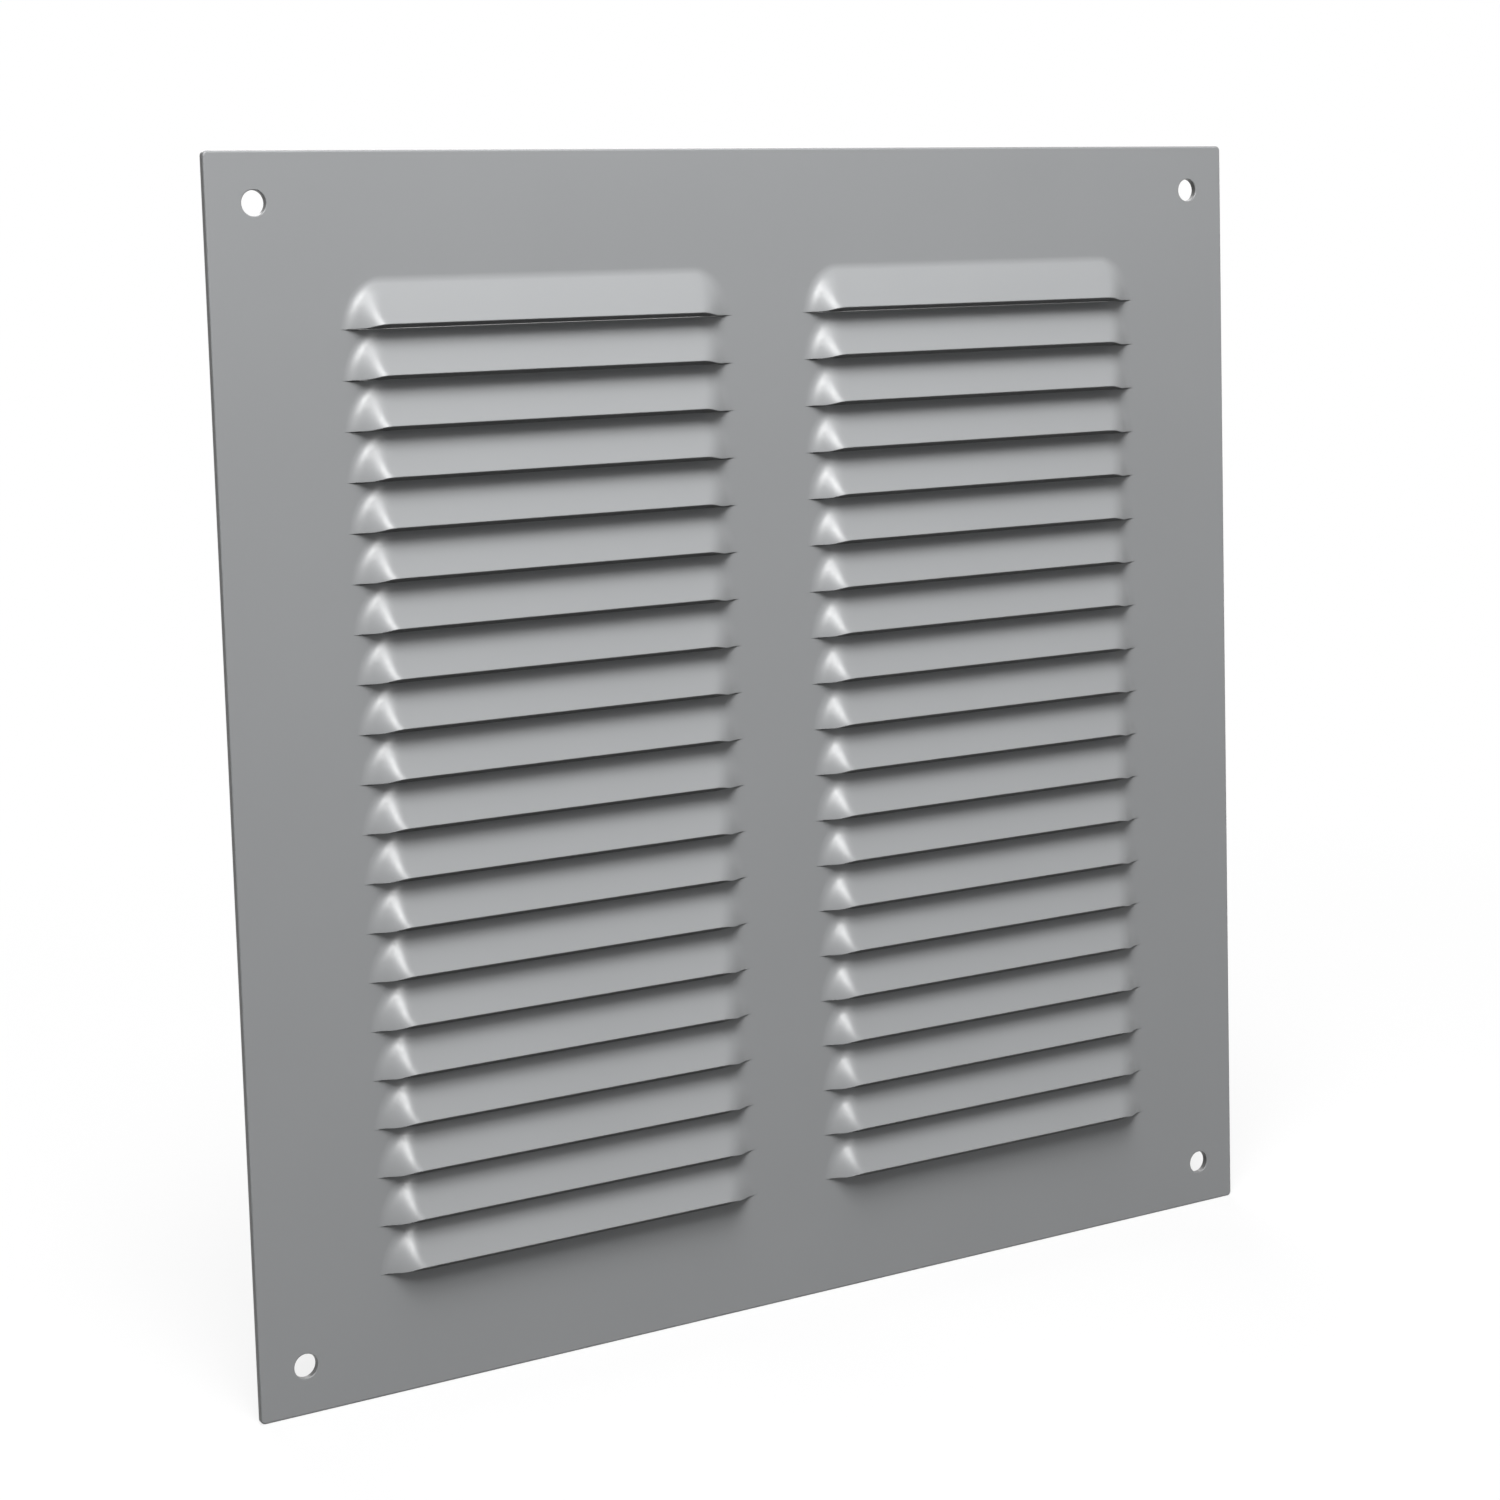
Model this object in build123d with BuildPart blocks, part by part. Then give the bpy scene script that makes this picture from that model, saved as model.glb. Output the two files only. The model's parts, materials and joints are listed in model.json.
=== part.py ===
"""Ventilation grille pressed from one square of sheet: two columns of louvres and four screw holes.

Millimetres. The back face lies on the wall plane Y = 0, the louvres open towards -Y and +Z is up.
The origin is the middle of the back face.
"""

import os
from math import radians, tan

from build123d import *

# Sheet blank
PLATE_WIDTH = 250.0
PLATE_HEIGHT = 250.0
SHEET = 1.5  # thickness of the sheet
CORNER_RADIUS = 1.0
RIM_BEVEL = 0.3  # broken edge round the front

# Screw holes, one in each corner
HOLE_DIAMETER = 5.0
HOLE_MARGIN = 10.0  # hole centre to the two nearest edges

# Louvres, all alike
COLUMNS = 2
COLUMN_SPACING = 107.0
ROWS = 20
PITCH = 10.0  # slit to slit, up the plate
LOUVRE_LENGTH = 90.0  # slit end to slit end
LOUVRE_ANGLE = 22.0  # slope of the pressed-out flap from the plate
LIP_RISE = 0.8  # front edge of the lip above its back edge
LAND = 0.4  # flat strip between a slit and the fold of the louvre below it
OVERRUN = 10.0  # degrees that a louvre's ends turn past the slit before they are trimmed

flap = PITCH - LAND  # slit to fold, before pressing
straight = LOUVRE_LENGTH - 2 * flap  # the rest of the length is two quarter-round ends
slope = tan(radians(LOUVRE_ANGLE))
half_slope = tan(radians(LOUVRE_ANGLE / 2))
back_fold = flap - SHEET * half_slope  # the sheet stays as thick past the fold

# Window in the plate that one flap is pressed out of: half a slot, cut off straight along the slit.
with BuildSketch() as window:
    SlotCenterToCenter(straight, 2 * flap)
    split(bisect_by=Plane.XZ, keep=Keep.BOTTOM)

# One louvre, with X along its slit, Y up the plate and Z out of the wall.
with BuildPart() as louvre:
    with BuildSketch(Plane.YZ.offset(straight / 2)) as section:
        with BuildLine():
            Polyline(
                (flap, 0),
                (flap, SHEET),
                (0, SHEET + flap * slope),
                (0, back_fold * slope),
                (back_fold, 0),
                close=True,
            )
        make_face()
    extrude(amount=-straight / 2)

    # Each end is the same section, turned a quarter round the end of the slit's straight run.
    end_axis = Axis((straight / 2, 0, 0), (0, 0, -1))
    revolve(section.sketch, axis=end_axis, revolution_arc=90 + OVERRUN)
    mirror(about=Plane.YZ)

    # The slit's upper edge has swung out about the fold. Near the slit's ends it still stands over the
    # slit. Along the lip the back edge does so too, and the front edge has risen.
    lip_back = Vector(0, back_fold * slope)
    lip_front = Vector(LIP_RISE, SHEET + (flap - LIP_RISE) * slope)
    with BuildSketch(Plane.YZ.offset(-LOUVRE_LENGTH)):
        with BuildLine():
            upright = Line((0, -SHEET), lip_back)
            leaning = PolarLine(lip_back, flap, direction=lip_front - lip_back)
            Polyline(leaning @ 1, (-flap, (leaning @ 1).Y), (-flap, -SHEET), upright @ 0)
        make_face()
    extrude(amount=2 * LOUVRE_LENGTH, mode=Mode.SUBTRACT)

# The whole sheet: blank, windows, and a louvre over each window.
with BuildPart(Plane.XZ) as louvre_plate:
    with BuildSketch(Plane.XZ):
        RectangleRounded(PLATE_WIDTH, PLATE_HEIGHT, CORNER_RADIUS)
        with GridLocations(PLATE_WIDTH - 2 * HOLE_MARGIN, PLATE_HEIGHT - 2 * HOLE_MARGIN, 2, 2):
            Circle(HOLE_DIAMETER / 2, mode=Mode.SUBTRACT)
    extrude(amount=SHEET)
    front_rim = louvre_plate.faces().sort_by(Axis.Y)[0].outer_wire().edges()
    chamfer(front_rim, RIM_BEVEL)

    with BuildSketch(Plane.XZ):
        with GridLocations(COLUMN_SPACING, PITCH, COLUMNS, ROWS):
            with Locations((0, -flap / 2)):
                add(window.sketch)
    extrude(amount=SHEET, mode=Mode.SUBTRACT)

    with GridLocations(COLUMN_SPACING, PITCH, COLUMNS, ROWS):
        with Locations((0, -flap / 2)):
            add(louvre.part)

louvre_plate.part.label = "louvre_plate"
os.makedirs("parts", exist_ok=True)
export_step(louvre_plate.part, "parts/louvre_plate.step")
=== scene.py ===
"""Looks of the louvred ventilation grille: a fine mesh of the pressed sheet, its coat, studio and camera.

Metres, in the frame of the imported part: +Z up, the louvres face -Y and the back face is on Y = 0.
"""

import json
from math import acos, cos, pi, radians, sin, tan

import bmesh
import bpy
import numpy as np
from mathutils import Matrix, Vector
from mathutils.geometry import delaunay_2d_cdt


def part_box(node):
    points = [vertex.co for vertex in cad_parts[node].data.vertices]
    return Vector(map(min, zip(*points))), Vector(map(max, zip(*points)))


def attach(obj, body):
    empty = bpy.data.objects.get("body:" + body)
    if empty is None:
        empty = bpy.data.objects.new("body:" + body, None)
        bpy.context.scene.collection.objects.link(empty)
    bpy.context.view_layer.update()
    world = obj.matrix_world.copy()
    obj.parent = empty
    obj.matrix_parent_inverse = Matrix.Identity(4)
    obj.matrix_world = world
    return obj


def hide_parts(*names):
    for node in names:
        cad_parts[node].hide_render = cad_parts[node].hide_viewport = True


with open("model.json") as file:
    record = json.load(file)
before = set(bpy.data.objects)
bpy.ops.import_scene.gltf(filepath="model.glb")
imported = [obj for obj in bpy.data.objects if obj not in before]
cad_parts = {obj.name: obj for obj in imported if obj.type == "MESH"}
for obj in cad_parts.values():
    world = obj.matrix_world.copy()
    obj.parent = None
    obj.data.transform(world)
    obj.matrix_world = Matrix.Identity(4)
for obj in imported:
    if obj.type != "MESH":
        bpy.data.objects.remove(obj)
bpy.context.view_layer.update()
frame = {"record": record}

MM = 0.001
NODE = "louvre_plate"

# Sheet: its outline comes from the frame, its holes from the record
low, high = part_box(NODE)
PLATE_WIDTH = high.x - low.x
PLATE_HEIGHT = high.z - low.z
SHEET = 1.5 * MM
CORNER_RADIUS = 1.0 * MM
RIM_ROUNDING = 0.45 * MM
HOLES = next(m for m in frame["record"]["mounts"] if m["kind"] == "bolt_pattern")["dims"]

# Louvres
COLUMNS = 2
COLUMN_SPACING = 107.0 * MM
ROWS = 20
PITCH = 10.0 * MM
LOUVRE_LENGTH = 90.0 * MM
LOUVRE_ANGLE = radians(22.0)
LAND = 0.4 * MM  # flat strip between a slit and the fold of the louvre below it
LIP_RISE = 0.8 * MM  # front edge of the lip above its back edge
LIP_BLEND = 0.4 * MM  # eases the lip onto the slit line near its ends
BEND_RADIUS = 4.5 * MM  # on the front of the fold
END_REACH = 9.4 * MM  # how far a rounded end runs along the slit
END_DROP = 1.0 * MM  # the ends turn round a point this far below the slit line
END_SOFTENING = 2.0  # share by which the bend grows gentler round the ends
END_BULGE = 0.5 * MM  # how far the rounded ends swell out from a plain cone
BULGE_RUN = 3.0 * MM  # and the length over which the swelling sets in
EDGE_ROUNDING = 0.2 * MM  # softened by the coat, on lips, slits and holes
EDGE_FADE = 2.0 * MM  # near a slit's ends the rounding dies out over this length
EDGE_SHADE_FALLOFF = 4  # the higher, the closer the painted shade on a cut edge keeps to the cut itself

# How finely the mesh follows the shape
END_COLUMNS = 20
TIP_CROWDING = 1.3  # above 1 the columns of an end stand closer towards its tip
STRAIGHT_COLUMNS = 8
BEND_ROWS = 5
SLOPE_ROWS = 5
ROUNDING_STEPS = 3
CORNER_STEPS = 6
HOLE_STEPS = 40

# Numerical work
TIP_ROUNDS = 20
LIP_ROUNDS = 10
TINY = 0.001 * MM  # step for slopes
NEARLY_NOTHING = 1e-9

OUT = np.array((0.0, -1.0, 0.0))  # out of the wall
UP = np.array((0.0, 0.0, 1.0))
ALONG = np.array((1.0, 0.0, 0.0))
QUARTER_TURN = np.linspace(0, pi / 2, ROUNDING_STEPS + 1)

slope = tan(LOUVRE_ANGLE)
half_slope = tan(LOUVRE_ANGLE / 2)
flap = PITCH - LAND  # slit to fold
straight = LOUVRE_LENGTH - 2 * flap  # the rest of the length is two rounded ends
half_slit = straight / 2 + END_REACH
bend_start = flap + BEND_RADIUS * half_slope
bend_width = BEND_RADIUS * sin(LOUVRE_ANGLE)
fold_top = PITCH - 2 * EDGE_ROUNDING  # the slit of the louvre above cuts a bend off here
lip_knee = flap * slope - SHEET / cos(LOUVRE_ANGLE)  # how far the lip's back edge stands out
lip_lean = LIP_RISE / ((flap - LIP_RISE) * slope - lip_knee)


def grid(spacing_x, spacing_z, count_x, count_z):
    """Places of a centred grid on the plate."""
    for i in range(count_x):
        for k in range(count_z):
            yield (i - (count_x - 1) / 2) * spacing_x * ALONG + (k - (count_z - 1) / 2) * spacing_z * UP


hole_radius = HOLES["hole_r_mm"] * MM
hole_places = list(grid(HOLES["spacing_x_mm"] * MM, HOLES["spacing_y_mm"] * MM, 2, 2))
louvre_places = [place - flap / 2 * UP for place in grid(COLUMN_SPACING, PITCH, COLUMNS, ROWS)]
highest_slit = max(place[2] for place in louvre_places)


def top_of(place):
    """Height above its slit at which a louvre's bend ends. The top louvres bend out of the flat plate."""
    return bend_start if place[2] > highest_slit - PITCH / 2 else fold_top


def unit(vectors):
    return vectors / np.linalg.norm(vectors, axis=-1, keepdims=True)


def bend_radius(sideways):
    """Radius of the fold, by how far sideways the louvre falls off: 0 is straight up, 1 along the slit."""
    return BEND_RADIUS * (1 + END_SOFTENING * sideways**2)


def fold_reach(way):
    """Distance of the fold from the point that an end turns round, at this angle from straight up."""
    return END_DROP + flap + bend_radius(np.sin(way)) * half_slope


# The fold comes down to the slit line at this angle. Each end is squeezed so that it does so at its tip.
tip_way = pi / 2
for _ in range(TIP_ROUNDS):
    tip_way = acos(END_DROP / fold_reach(tip_way))
end_squeeze = END_REACH / (fold_reach(tip_way) * sin(tip_way))


def swelling(past, share):
    """Share of the bulge: none on the straight run, at the fold or at the point that an end turns round."""
    onset = past**2 / (past**2 + BULGE_RUN**2)
    peak = 4 / 27  # of the curve below
    return onset * share**2 * (1 - share) / peak


def flap_height(x, z):
    """How far a louvre stands out of the plate over the point (x, z), from the slit's middle."""
    past = np.maximum(np.abs(x) - straight / 2, 0.0) / end_squeeze
    reach = np.hypot(past, z + END_DROP)
    radius = bend_radius(past / reach)
    whole = flap + radius * half_slope + END_DROP
    inside = whole - reach
    width = radius * sin(LOUVRE_ANGLE)
    bent = np.clip(inside, 0.0, width)
    cone = radius - np.sqrt(radius**2 - bent**2) + np.maximum(inside - width, 0.0) * slope
    return cone + END_BULGE * swelling(past, np.maximum(inside, 0.0) / whole)


def flap_surface(x, z):
    """Front skin of a louvre over the point (x, z) of the plate, and its normals."""
    points = np.stack([x, -SHEET - flap_height(x, z), z], axis=-1)
    fall_x = (flap_height(x - TINY, z) - flap_height(x + TINY, z)) / (2 * TINY)
    fall_z = (flap_height(x, z - TINY) - flap_height(x, z + TINY)) / (2 * TINY)
    return points, unit(np.stack([fall_x, -np.ones_like(x), fall_z], axis=-1))


def lip_front(x):
    """How far the lip's front edge is above the slit line. One leaning plane cuts the lip and its ends."""
    rise = np.zeros_like(x)
    for _ in range(LIP_ROUNDS):
        rise = lip_lean * (flap_height(x, rise) - lip_knee)
    return (rise + np.hypot(rise, LIP_BLEND)) / 2


def lip_back(x):
    """The same for the front of the sheet over the lip's back edge, which keeps to the slit line."""
    rise = np.zeros_like(x)
    for _ in range(LIP_ROUNDS):
        rise = SHEET * flap_surface(x, rise)[1][:, 2]
    return rise


def columns_along_slit(top):
    """Where each column of the mesh starts at the fold, no higher than the top, and where it ends."""
    ease = 1 - (1 - np.arange(1, END_COLUMNS + 1) / END_COLUMNS) ** TIP_CROWDING
    run = np.linspace(-straight / 2, straight / 2, STRAIGHT_COLUMNS + 1)
    way = ease * tip_way
    reach = np.minimum(fold_reach(way), (top + END_DROP) / np.cos(way))
    fold_x = straight / 2 + end_squeeze * reach * np.sin(way)
    fold_z = reach * np.cos(way) - END_DROP
    lip_x = straight / 2 + END_REACH * ease
    fold_x = np.concatenate([-fold_x[::-1], run, fold_x])
    fold_z = np.concatenate([fold_z[::-1], np.full(len(run), min(bend_start, top)), fold_z])
    lip_x = np.concatenate([-lip_x[::-1], run, lip_x])
    return fold_x, fold_z, lip_x


def rounding(edge, outward, normal, radius, turns):
    """Rows of a rounded edge, from the face with this normal round to the cut with the outward normal."""
    centre = edge - radius * (outward + normal)
    for turn in turns:
        way = np.broadcast_to(outward * sin(turn) + normal * cos(turn), centre.shape)
        # the third value is the share of painted shade, which grows towards the cut
        yield centre + radius * way, way, sin(turn) ** EDGE_SHADE_FALLOFF


def skin_rows(fold_x, fold_z, end_x, end_z):
    """Rows on the front skin from the fold to these ends, close together in the bend."""
    reach = np.hypot(fold_x - end_x, fold_z - end_z)
    bend_share = np.minimum(bend_width, reach / 2) / np.maximum(reach, NEARLY_NOTHING)
    shares = [bend_share * i / BEND_ROWS for i in range(BEND_ROWS)]
    shares += [bend_share + (1 - bend_share) * i / SLOPE_ROWS for i in range(SLOPE_ROWS + 1)]
    return [flap_surface(fold_x + s * (end_x - fold_x), fold_z + s * (end_z - fold_z)) for s in shares]


def louvre_rows(top):
    """Rows of one louvre: on the front from the fold to the lip's face, and on the back to the fold."""
    fold_x, fold_z, lip_x = columns_along_slit(top)
    front_edge, front_normal = flap_surface(lip_x, lip_front(lip_x))
    over_back, back_normal = flap_surface(lip_x, lip_back(lip_x))
    back_edge = over_back - SHEET * back_normal
    outward = unit(np.cross(front_normal, np.gradient(front_edge, axis=0)))
    outward *= -np.sign(outward[:, 2:3])  # the lip faces down
    radius = EDGE_ROUNDING * np.clip((half_slit - np.abs(lip_x)) / EDGE_FADE, 0.0, 1.0)[:, None]

    front_end = front_edge - radius * outward
    back_end = over_back - radius * outward
    over = skin_rows(fold_x, fold_z, front_end[:, 0], front_end[:, 2])
    under = skin_rows(fold_x, fold_z, back_end[:, 0], back_end[:, 2])
    front = [(points, normals, 0.0) for points, normals in over]
    back = [(points - SHEET * normals, -normals, 0.0) for points, normals in reversed(under)]

    front += list(rounding(front_edge, outward, front_normal, radius, QUARTER_TURN[1:]))
    back = list(rounding(back_edge, outward, -back_normal, radius, QUARTER_TURN[:0:-1])) + back
    return front, back


def slit_rows():
    """Rows of the plate's own edge under a louvre, from the front to the back."""
    x = np.array((-half_slit, EDGE_FADE - half_slit, half_slit - EDGE_FADE, half_slit))
    radius = EDGE_ROUNDING * np.array((0.0, 1.0, 1.0, 0.0))[:, None]
    edge = x[:, None] * ALONG + SHEET * OUT
    front = list(rounding(edge, UP, OUT, radius, QUARTER_TURN))
    back = list(rounding(edge - SHEET * OUT, UP, -OUT, radius, QUARTER_TURN[::-1]))
    return front, back


class Skin:
    """Points with exact normals, how far each is on a cut edge (its share of painted shade), and the faces
    between rows of them.
    """

    def __init__(self):
        self.points = []
        self.normals = []
        self.cut = []
        self.faces = []

    def add(self, points, normals, cut=0.0):
        """Takes in points and gives their numbers."""
        first = len(self.points)
        self.points.extend(points)
        self.normals.extend(np.broadcast_to(normals, np.shape(points)))
        self.cut.extend([cut] * len(points))
        return list(range(first, len(self.points)))

    def strip(self, row, other):
        """Faces between two rows of equal length. Where the rows share a point, the face loses a corner."""
        for corners in zip(row, row[1:], other[1:], other):
            corners = tuple(dict.fromkeys(corners))
            if len(corners) > 2:
                self.faces.append(corners)


def add_louvre(skin, place, top):
    """One louvre over its slit. Gives the loops that the flat front and back join, tip to tip and back."""
    tips = half_slit * np.array((-1.0, 1.0))[:, None] * ALONG + place
    front_tips = skin.add(tips + SHEET * OUT, OUT)
    back_tips = skin.add(tips, -OUT)

    def lay(rows, ends):
        return [
            [ends[0], *skin.add(points[1:-1] + place, normals[1:-1], cut), ends[1]]
            for points, normals, cut in rows
        ]

    loops = []
    for front, back in (louvre_rows(top), slit_rows()):
        rows = lay(front, front_tips) + lay(back, back_tips)
        for row, other in zip(rows, rows[1:]):
            skin.strip(row, other)
        loops.append((rows[0], rows[-1]))
    (fold_front, fold_back), (slit_front, slit_back) = loops
    return fold_front + slit_front[-2:0:-1], fold_back + slit_back[-2:0:-1]


def add_edge_loop(skin, edge, outward, front_radius, back_radius):
    """A closed edge of the sheet, rounded front and back. Gives the loops on the front and the back."""
    rows = list(rounding(edge + SHEET * OUT, outward, OUT, front_radius, QUARTER_TURN))
    rows += list(rounding(edge, outward, -OUT, back_radius, QUARTER_TURN[::-1]))
    rows = [skin.add(*row) for row in rows]
    for row, other in zip(rows, rows[1:]):
        skin.strip(row + row[:1], other + other[:1])
    return rows[0], rows[-1]


def spokes(angles):
    """Directions in the plate at these angles."""
    return np.cos(angles)[:, None] * ALONG + np.sin(angles)[:, None] * UP


def outer_edge():
    """Points and outward directions round the plate's outline."""
    points, outward = [], []
    for corner in range(4):
        way = spokes(np.linspace(0, pi / 2, CORNER_STEPS + 1) + corner * pi / 2)
        middle = np.sign(way[CORNER_STEPS // 2])
        centre = middle * (PLATE_WIDTH / 2 - CORNER_RADIUS, 0, PLATE_HEIGHT / 2 - CORNER_RADIUS)
        points.append(centre + CORNER_RADIUS * way)
        outward.append(way)
    return np.concatenate(points), np.concatenate(outward)


def in_sheet(x, z):
    """Whether the flat of the plate covers this point: not a hole, and not a louvre's window."""
    for hole in hole_places:
        if np.hypot(x - hole[0], z - hole[2]) < hole_radius + EDGE_ROUNDING:
            return False
    for place in louvre_places:
        above = z - place[2]
        if -EDGE_ROUNDING < above < top_of(place) and flap_height(x - place[0], above) > 0:
            return False
    return True


def fill_flats(skin, loops):
    """Flat front and back between the loops. The loops of one side lie over those of the other."""
    front = [i for loop, _ in loops for i in loop]
    back = [i for _, loop in loops for i in loop]
    plan = [Vector((skin.points[i][0], skin.points[i][2])) for i in front]
    edges, first = [], 0
    for loop, _ in loops:
        edges += [(first + i, first + (i + 1) % len(loop)) for i in range(len(loop))]
        first += len(loop)
    _, _, faces, origins, _, _ = delaunay_2d_cdt(plan, edges, [], 0, NEARLY_NOTHING)
    for face in faces:
        corners = [origins[i][0] for i in face]
        x, z = np.mean([plan[i] for i in corners], axis=0)
        if in_sheet(x, z):
            skin.faces.append(tuple(front[i] for i in corners))
            skin.faces.append(tuple(back[i] for i in reversed(corners)))


def pressed_sheet():
    """The whole grille as one closed mesh."""
    skin = Skin()
    loops = [add_edge_loop(skin, *outer_edge(), RIM_ROUNDING, EDGE_ROUNDING)]
    ring = spokes(np.linspace(0, 2 * pi, HOLE_STEPS, endpoint=False))
    for hole in hole_places:
        loops.append(add_edge_loop(skin, hole + hole_radius * ring, -ring, EDGE_ROUNDING, EDGE_ROUNDING))
    for place in louvre_places:
        loops.append(add_louvre(skin, place, top_of(place)))
    fill_flats(skin, loops)

    mesh = bpy.data.meshes.new("pressed_sheet")
    mesh.from_pydata([tuple(p) for p in skin.points], [], skin.faces)
    shell = bmesh.new()
    shell.from_mesh(mesh)
    bmesh.ops.recalc_face_normals(shell, faces=shell.faces)
    shell.to_mesh(mesh)
    shell.free()
    mesh.shade_smooth()
    mesh.normals_split_custom_set_from_vertices([tuple(n) for n in skin.normals])
    # how far each point is on a cut edge: the coat paints shade there
    mesh.attributes.new("cut_edge_shade", "FLOAT", "POINT").data.foreach_set("value", skin.cut)
    piece = bpy.data.objects.new("pressed_sheet", mesh)
    bpy.context.collection.objects.link(piece)
    return piece


sheet = pressed_sheet()
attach(sheet, "root")
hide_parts(NODE)

# Coat
COAT_COLOUR = (0.28, 0.286, 0.292)
COAT_SPREAD = 0.03  # share by which the coat's tone drifts over the plate
DRIFT_SIZE = 40.0 * MM
DRIFT_DETAIL = 2.0
# cut edges: partly a darker cut, mostly painted shade, near black so the lip faces, slit edges and hole
# walls look shaded
EDGE_SHADE_COLOUR = (0.08, 0.08, 0.08)
ROUGHNESS = (0.3, 0.38)
SPECULAR = 0.3
PEEL_SIZE = 0.9 * MM  # dimples of the sprayed coat
PEEL_DEPTH = 0.004 * MM
PEEL_DETAIL = 1.0


def noise(nodes, links, place, size, detail):
    texture = nodes.new("ShaderNodeTexNoise")
    texture.inputs["Scale"].default_value = 1 / size
    texture.inputs["Detail"].default_value = detail
    links.new(place.outputs["Object"], texture.inputs["Vector"])
    return texture.outputs["Fac"]


def grey_coat():
    """Satin grey powder coat with a fine orange peel. The cut edges are darkened near black: partly a
    darker cut, mostly painted shade.
    """
    material = bpy.data.materials.new("grey_coat")
    material.use_nodes = True
    nodes, links = material.node_tree.nodes, material.node_tree.links
    shader = nodes["Principled BSDF"]
    shader.inputs["Specular IOR Level"].default_value = SPECULAR
    place = nodes.new("ShaderNodeTexCoord")
    drift = noise(nodes, links, place, DRIFT_SIZE, DRIFT_DETAIL)
    peel = noise(nodes, links, place, PEEL_SIZE, PEEL_DETAIL)

    tone = nodes.new("ShaderNodeValToRGB")
    for stop, share in zip(tone.color_ramp.elements, (1 - COAT_SPREAD, 1 + COAT_SPREAD)):
        stop.color = (*(share * c for c in COAT_COLOUR), 1)
    links.new(drift, tone.inputs["Fac"])
    # painted shade: the cut edges are mixed towards near black
    edge = nodes.new("ShaderNodeAttribute")
    edge.attribute_name = "cut_edge_shade"
    tint = nodes.new("ShaderNodeMix")
    tint.data_type = "RGBA"
    tint.inputs["B"].default_value = (*EDGE_SHADE_COLOUR, 1)
    links.new(edge.outputs["Fac"], tint.inputs["Factor"])
    links.new(tone.outputs["Color"], tint.inputs["A"])
    links.new(tint.outputs["Result"], shader.inputs["Base Color"])

    sheen = nodes.new("ShaderNodeMapRange")
    sheen.inputs["To Min"].default_value = ROUGHNESS[0]
    sheen.inputs["To Max"].default_value = ROUGHNESS[1]
    links.new(peel, sheen.inputs["Value"])
    links.new(sheen.outputs["Result"], shader.inputs["Roughness"])

    dimples = nodes.new("ShaderNodeBump")
    dimples.inputs["Distance"].default_value = PEEL_DEPTH
    links.new(peel, dimples.inputs["Height"])
    links.new(dimples.outputs["Normal"], shader.inputs["Normal"])
    return material


sheet.data.materials.append(grey_coat())

# Studio: the camera and mirror reflections see white all round, and the floor keeps a soft shadow
FLOOR_SIZE = 8.0
FLOOR_GREY = 0.7
FLOOR_BOUNCE = 0.1  # grey that the floor throws back as light
FLOOR_SHADOW = 0.25  # share of the floor's look that takes shadow near the part
SHADOW_REACH = (0.2, 0.6)  # beyond this the floor is plain white
AMBIENT = 0.29
WHITE = (1, 1, 1, 1)


def sees_background(nodes, links):
    """Light Path test for rays that meet the background directly."""
    path = nodes.new("ShaderNodeLightPath")
    sees = path.outputs["Is Camera Ray"]
    for name in ("Is Glossy Ray", "Is Transmission Ray"):
        either = nodes.new("ShaderNodeMath")
        either.operation = "MAXIMUM"
        links.new(sees, either.inputs[0])
        links.new(path.outputs[name], either.inputs[1])
        sees = either.outputs[0]
    return sees


def blend(nodes, links, share, plain, other):
    """The plain shader, with this share of the other one."""
    mix = nodes.new("ShaderNodeMixShader")
    links.new(share, mix.inputs[0])
    links.new(plain.outputs[0], mix.inputs[1])
    links.new(other.outputs[0], mix.inputs[2])
    return mix


def matt(nodes, grey):
    shader = nodes.new("ShaderNodeBsdfDiffuse")
    shader.inputs["Color"].default_value = (grey, grey, grey, 1)
    return shader


def white_floor():
    """White to the eye with a soft shadow round the part, and dull where it throws light back."""
    material = bpy.data.materials.new("white_floor")
    material.use_nodes = True
    nodes, links = material.node_tree.nodes, material.node_tree.links
    nodes.remove(nodes["Principled BSDF"])
    dull = matt(nodes, FLOOR_BOUNCE)
    pale = matt(nodes, FLOOR_GREY)
    glow = nodes.new("ShaderNodeEmission")
    glow.inputs["Strength"].default_value = 1.0

    place = nodes.new("ShaderNodeTexCoord")
    reach = nodes.new("ShaderNodeVectorMath")
    reach.operation = "LENGTH"
    links.new(place.outputs["Object"], reach.inputs[0])
    fade = nodes.new("ShaderNodeMapRange")
    fade.inputs["From Min"].default_value = SHADOW_REACH[0]
    fade.inputs["From Max"].default_value = SHADOW_REACH[1]
    fade.inputs["To Min"].default_value = 1 - FLOOR_SHADOW
    fade.inputs["To Max"].default_value = 1.0
    links.new(reach.outputs["Value"], fade.inputs["Value"])

    seen = blend(nodes, links, fade.outputs["Result"], pale, glow)
    choice = blend(nodes, links, sees_background(nodes, links), dull, seen)
    links.new(choice.outputs[0], nodes["Material Output"].inputs["Surface"])
    return material


half = FLOOR_SIZE / 2
floor_mesh = bpy.data.meshes.new("floor")
corners = [(-half, -half, low.z), (half, -half, low.z), (half, half, low.z), (-half, half, low.z)]
floor_mesh.from_pydata(corners, [], [(0, 1, 2, 3)])
floor_mesh.materials.append(white_floor())
floor = bpy.data.objects.new("floor", floor_mesh)
bpy.context.collection.objects.link(floor)

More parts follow.
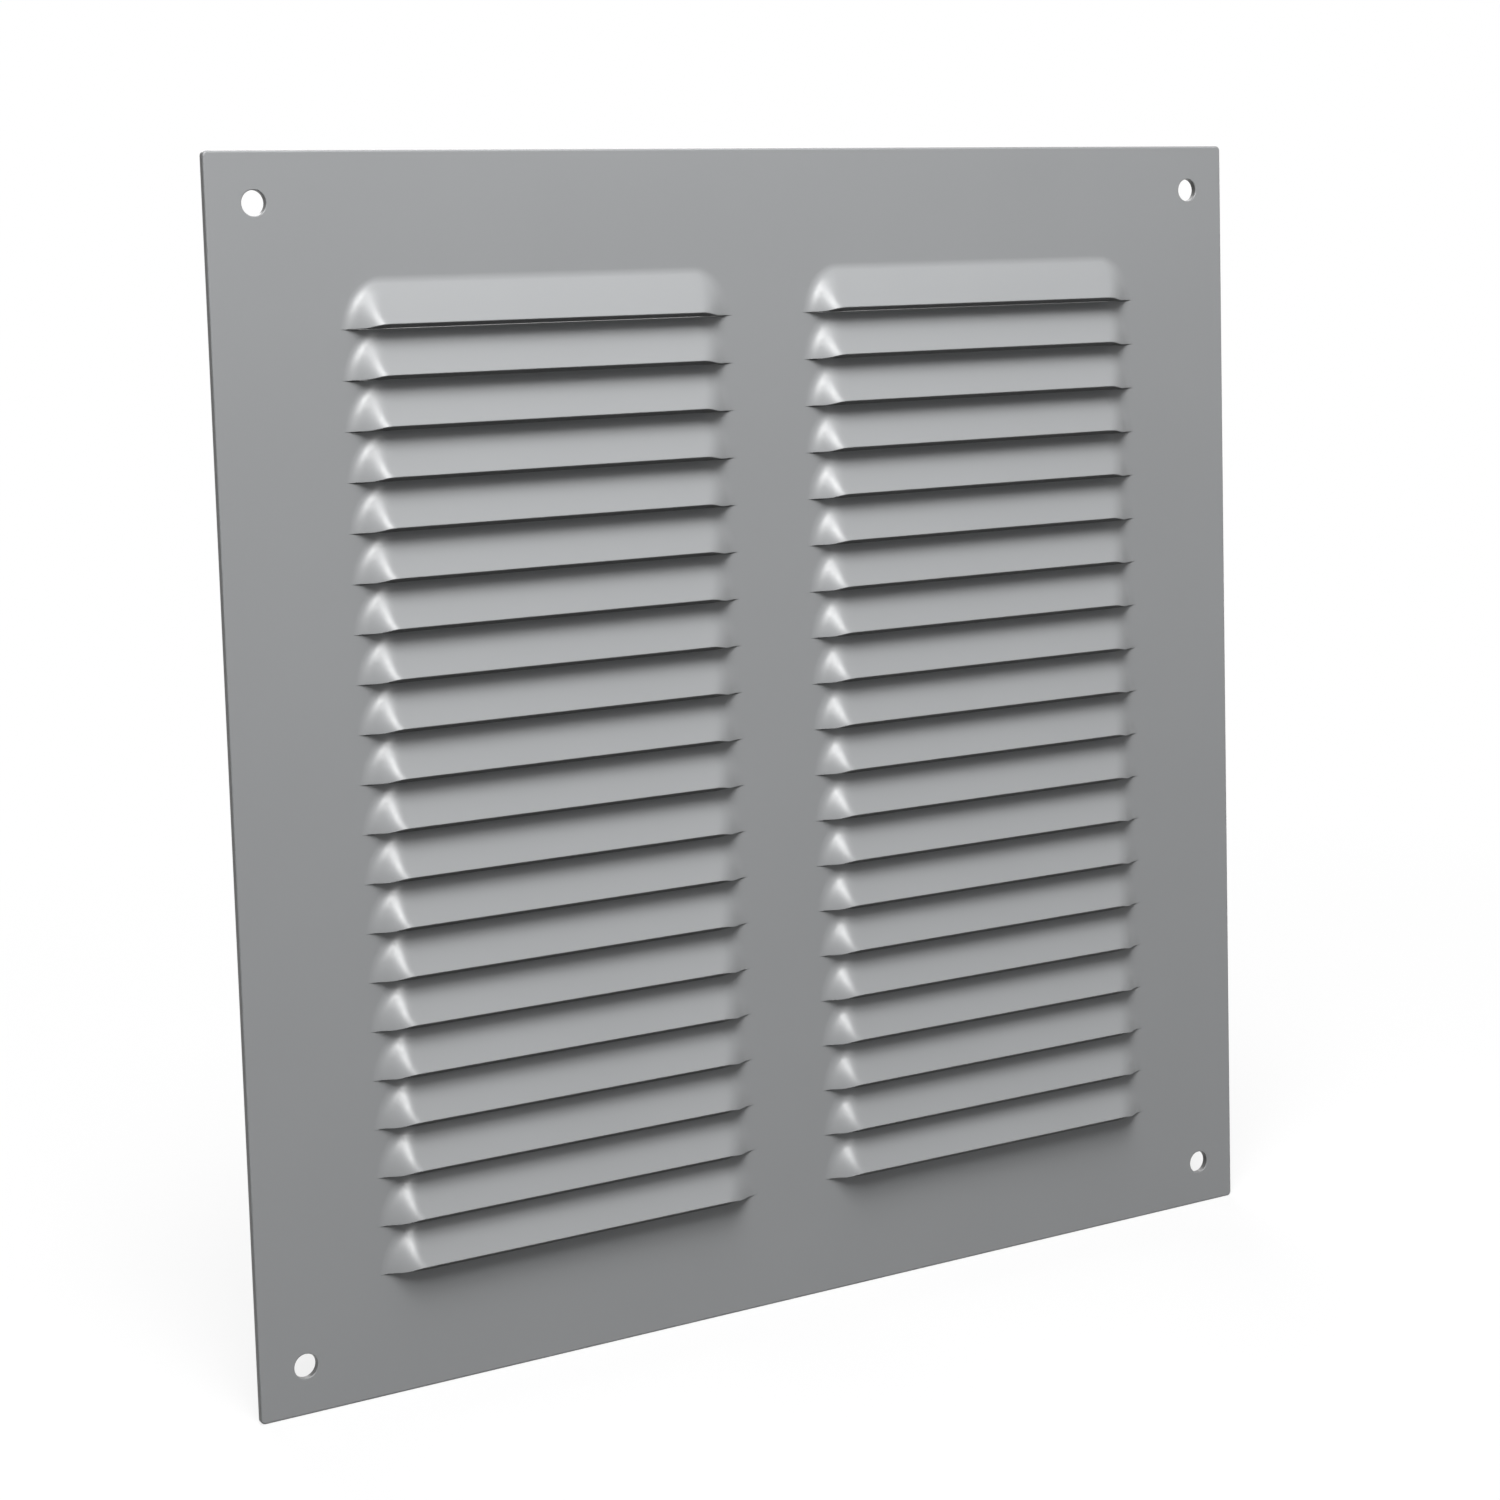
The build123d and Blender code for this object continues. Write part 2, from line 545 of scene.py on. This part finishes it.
world = bpy.data.worlds.new("studio")
bpy.context.scene.world = world
world.use_nodes = True
sky, sky_links = world.node_tree.nodes, world.node_tree.links
ambient = sky["Background"]
ambient.inputs["Color"].default_value = WHITE
ambient.inputs["Strength"].default_value = AMBIENT
surround = sky.new("ShaderNodeBackground")
surround.inputs["Color"].default_value = WHITE
surround.inputs["Strength"].default_value = 1.0
backdrop = blend(sky, sky_links, sees_background(sky, sky_links), ambient, surround)
sky_links.new(backdrop.outputs[0], sky["World Output"].inputs["Surface"])


def softbox(name, place, size, watts, glint_only=False):
    """A soft lamp at this place that looks at the plate. One for glints shows in reflections alone."""
    lamp = bpy.data.lights.new(name, "AREA")
    lamp.shape = "RECTANGLE"
    lamp.size, lamp.size_y = size
    lamp.energy = watts
    box = bpy.data.objects.new(name, lamp)
    box.location = place
    box.rotation_euler = (-box.location).to_track_quat("-Z", "Y").to_euler()
    box.visible_diffuse = not glint_only
    bpy.context.collection.objects.link(box)


softbox("key", place=(-0.42, -0.75, 1.2), size=(0.8, 0.9), watts=27)
softbox("panel", place=(0.0, -0.13, 0.37), size=(0.4, 0.24), watts=0.7)
softbox("strip", place=(-0.45, -2.69, 1.29), size=(0.85, 0.8), watts=122, glint_only=True)
softbox("back", place=(0.3, 1.0, 0.75), size=(0.9, 0.9), watts=9)

# Camera, fitted to the plate's four corners in the photograph. Place and aim count from the plate's front.
IMAGE = 1500
LENS_PIXELS = 3040.0
PRINCIPAL_Y = 600.0
SENSOR_WIDTH = 36.0
FRONT = Vector((0, -SHEET, 0))
CAMERA_PLACE = Vector((-342.91, -547.51, 100.38)) * MM + FRONT
CAMERA_AIM = Vector((-6.26, 0.0, 29.83)) * MM + FRONT
CAMERA_ROLL = radians(-1.6)

lens = bpy.data.cameras.new("camera")
lens.sensor_width = SENSOR_WIDTH
lens.lens = LENS_PIXELS / IMAGE * SENSOR_WIDTH
lens.shift_y = (PRINCIPAL_Y - IMAGE / 2) / IMAGE
camera = bpy.data.objects.new("camera", lens)
bpy.context.collection.objects.link(camera)
turn = (CAMERA_AIM - CAMERA_PLACE).to_track_quat("-Z", "Y").to_matrix().to_4x4()
camera.matrix_world = Matrix.Translation(CAMERA_PLACE) @ turn @ Matrix.Rotation(CAMERA_ROLL, 4, "Z")
bpy.context.scene.camera = camera

bpy.context.scene.view_settings.view_transform = "Standard"
